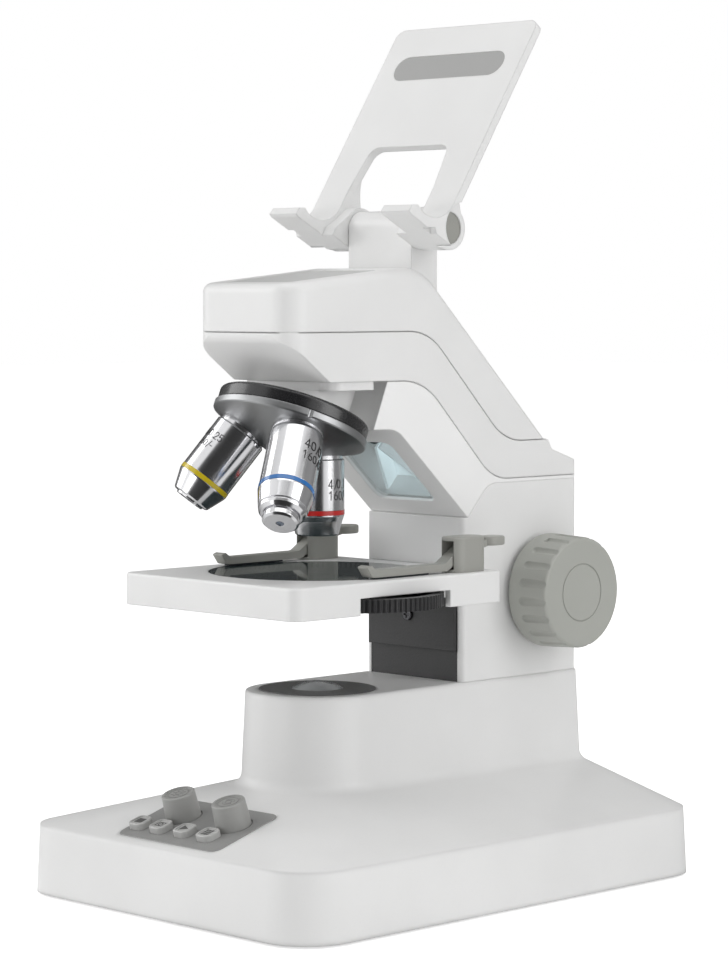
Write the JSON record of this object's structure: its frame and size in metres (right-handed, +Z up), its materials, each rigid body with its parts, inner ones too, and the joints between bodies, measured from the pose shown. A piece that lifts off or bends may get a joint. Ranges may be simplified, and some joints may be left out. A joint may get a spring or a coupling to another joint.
{
  "type": "digital microscope",
  "caption": "Upright digital school microscope with tilted nosepiece, square stage with clips and diaphragm, coarse focus knobs, lit pedestal, front control panel and a tilting device holder.",
  "frame": {"origin": "centre of the footprint at the underside of the feet", "axes": "+Z up, -Y towards the user (control panel side), +X to the user's right"},
  "size_m": [0.1686, 0.2278, 0.3498],
  "materials": {
    "white_plastic": "fine satin moulded",
    "grey_plastic": "satin moulded",
    "warm_grey_plastic": "satin moulded",
    "dark_plate": "powder coated",
    "black_plastic": "satin",
    "panel_grey": "fine texture",
    "button_plastic": "satin gloss",
    "chrome": "polished",
    "barrel_chrome": "satin turned",
    "disc_metal": "bead blasted",
    "steel": "ground",
    "spring_steel": "drawn wire",
    "brass": "machined",
    "red_enamel": "gloss enamel",
    "yellow_enamel": "gloss enamel",
    "blue_enamel": "gloss enamel",
    "lens_glass": "polished",
    "pane_glass": "polished",
    "stage_glass": "polished dark",
    "board_green": "solder mask",
    "rubber": "matte",
    "pad_rubber": "matte"
  },
  "bodies": {
    "stand": {"base_housing": "white_plastic", "base_bottom_cover": "white_plastic", "rubber_feet": "rubber", "base_screws": "steel", "control_panel": "panel_grey", "control_board": "board_green", "lamp_ring": "black_plastic", "lamp_lens": "lens_glass", "lamp_board": "board_green", "power_inlet": "black_plastic", "column_housing": "white_plastic", "focus_guide_plate": "dark_plate", "guide_rods": "steel", "arm_lower_shell": "white_plastic", "arm_top_cover": "white_plastic", "top_inset_panel": "panel_grey", "throat_cover": "white_plastic", "window_pane": "pane_glass", "light_reflector": "white_plastic", "incident_led": "black_plastic", "camera_module": "black_plastic", "nosepiece_mount": "white_plastic", "nosepiece_ring": "black_plastic", "turret_pivot": "chrome", "holder_post": "white_plastic", "hinge_pin": "steel"},
    "focus_drive": {"focus_shaft": "steel", "focus_pinion": "brass", "focus_knob_left": "warm_grey_plastic", "focus_knob_right": "warm_grey_plastic"},
    "stage": {"stage_plate": "white_plastic", "stage_glass": "stage_glass", "stage_carriage": "black_plastic", "focus_rack": "brass", "diaphragm_screw": "chrome", "bracket_screw": "chrome", "clip_mounts": "grey_plastic", "clip_pins": "steel", "clip_spring_left": "spring_steel", "clip_spring_right": "spring_steel"},
    "diaphragm": {"diaphragm_wheel": "black_plastic"},
    "clip_left": {"clip_lever_left": "grey_plastic"},
    "clip_right": {"clip_lever_right": "grey_plastic"},
    "turret": {"turret_disc": "disc_metal", "objective_4x": "barrel_chrome", "objective_10x": "barrel_chrome", "objective_40x": "barrel_chrome", "colour_ring_red": "red_enamel", "colour_ring_yellow": "yellow_enamel", "colour_ring_blue": "blue_enamel", "objective_lenses": "lens_glass"},
    "left_light_knob": {"light_knob_left": "grey_plastic"},
    "right_light_knob": {"light_knob_right": "grey_plastic"},
    "stop_button": {"button_stop": "button_plastic"},
    "photo_button": {"button_photo": "button_plastic"},
    "play_button": {"button_play": "button_plastic"},
    "grid_button": {"button_grid": "button_plastic"},
    "holder": {"holder_plate": "white_plastic", "holder_pad": "pad_rubber", "hinge_caps": "grey_plastic"}
  },
  "joints": [
    {"name": "focus_turn", "type": "hinge", "parent": "stand", "child": "focus_drive", "pos_m": [0, 0.075, 0.116], "axis": [1, 0, 0], "range_deg": [-19.89, 95.49]},
    {"name": "stage_lift", "type": "slide", "parent": "stand", "child": "stage", "axis": [0, 0, 1], "range_m": [-0.012, 0.0025]},
    {"name": "diaphragm_turn", "type": "hinge", "parent": "stage", "child": "diaphragm", "pos_m": [0.024, -0.028, 0.119], "axis": [0, 0, 1], "continuous": true},
    {"name": "clip_left_lift", "type": "hinge", "parent": "stage", "child": "clip_left", "pos_m": [-0.042, 0.0145, 0.137], "axis": [-1, 0, 0], "range_deg": [0, 15], "stiffness_Nm_per_rad": 0.08, "springref_deg": -28.65, "deforming": ["clip_spring_left"]},
    {"name": "clip_right_lift", "type": "hinge", "parent": "stage", "child": "clip_right", "pos_m": [0.042, 0.0145, 0.137], "axis": [-1, 0, 0], "range_deg": [0, 15], "stiffness_Nm_per_rad": 0.08, "springref_deg": -28.65, "deforming": ["clip_spring_right"]},
    {"name": "turret_turn", "type": "hinge", "parent": "stand", "child": "turret", "pos_m": [0, -0.04281, 0.18557], "axis": [0, -0.3778, -0.9259], "continuous": true},
    {"name": "left_light_knob_turn", "type": "hinge", "parent": "stand", "child": "left_light_knob", "pos_m": [-0.0119, -0.08902, 0.03908], "axis": [0, -0.2888, 0.9574], "range_deg": [-135, 135]},
    {"name": "right_light_knob_turn", "type": "hinge", "parent": "stand", "child": "right_light_knob", "pos_m": [0.017, -0.08892, 0.03911], "axis": [0, -0.2888, 0.9574], "range_deg": [-135, 135]},
    {"name": "holder_tilt", "type": "hinge", "parent": "stand", "child": "holder", "pos_m": [0, 0.01465, 0.2647], "axis": [1, 0, 0], "range_deg": [-40, 30]},
    {"name": "stop_button_press", "type": "slide", "parent": "stand", "child": "stop_button", "axis": [0, 0.2888, -0.9574], "range_m": [0, 0.001], "stiffness_N_per_m": 200, "springref_m": -0.002},
    {"name": "photo_button_press", "type": "slide", "parent": "stand", "child": "photo_button", "axis": [0, 0.2888, -0.9574], "range_m": [0, 0.001], "stiffness_N_per_m": 200, "springref_m": -0.002},
    {"name": "play_button_press", "type": "slide", "parent": "stand", "child": "play_button", "axis": [0, 0.2888, -0.9574], "range_m": [0, 0.001], "stiffness_N_per_m": 200, "springref_m": -0.002},
    {"name": "grid_button_press", "type": "slide", "parent": "stand", "child": "grid_button", "axis": [0, 0.2888, -0.9574], "range_m": [0, 0.001], "stiffness_N_per_m": 200, "springref_m": -0.002}
  ],
  "couplings": [
    {"joint": "focus_turn", "follows": "stage_lift", "rad_per_m": -138.89}
  ]
}
